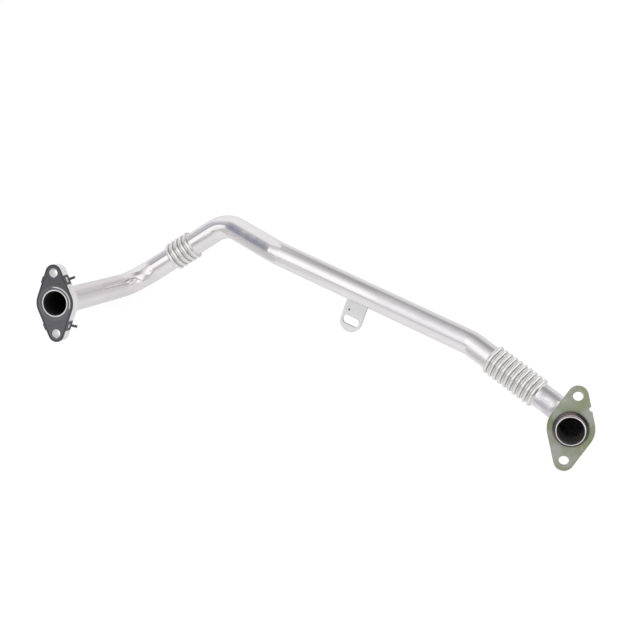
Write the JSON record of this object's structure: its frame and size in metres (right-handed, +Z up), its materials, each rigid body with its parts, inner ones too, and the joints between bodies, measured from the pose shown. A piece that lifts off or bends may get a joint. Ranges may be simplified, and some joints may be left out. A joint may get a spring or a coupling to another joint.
{
  "type": "exhaust gas recirculation pipe",
  "caption": "Bent steel pipe with two formed bellows, a thick flange with a clipped sheet gasket, a stamped plate flange behind a spigot and a slotted support tab.",
  "frame": {"origin": "middle of the base of the whole part's box, on the surface that the pipe rests on", "axes": "+X along the long run towards the plate flange, -Y the way both mouths face, +Z up as it rests"},
  "size_m": [0.519, 0.2224, 0.1102],
  "materials": {
    "tube_steel": "stainless tube, drawn and lightly polished, with greyer formed bellows and faint heat tint at the bends",
    "flange_steel": "machined and tumbled, pale grey satin",
    "weld_steel": "weld metal as laid, slightly rippled",
    "gasket_steel": "thin steel sheet with a dark grey rubbery coating",
    "zinc_plate": "stamped steel with an olive zinc passivation, mottled with grey",
    "tab_steel": "matte pickled steel"
  },
  "bodies": {
    "root": {"pipe": "tube_steel", "block_flange": "flange_steel", "flange_weld": "weld_steel", "gasket": "gasket_steel", "plate_flange": "zinc_plate", "support_tab": "tab_steel", "tab_weld": "weld_steel"}
  },
  "joints": []
}
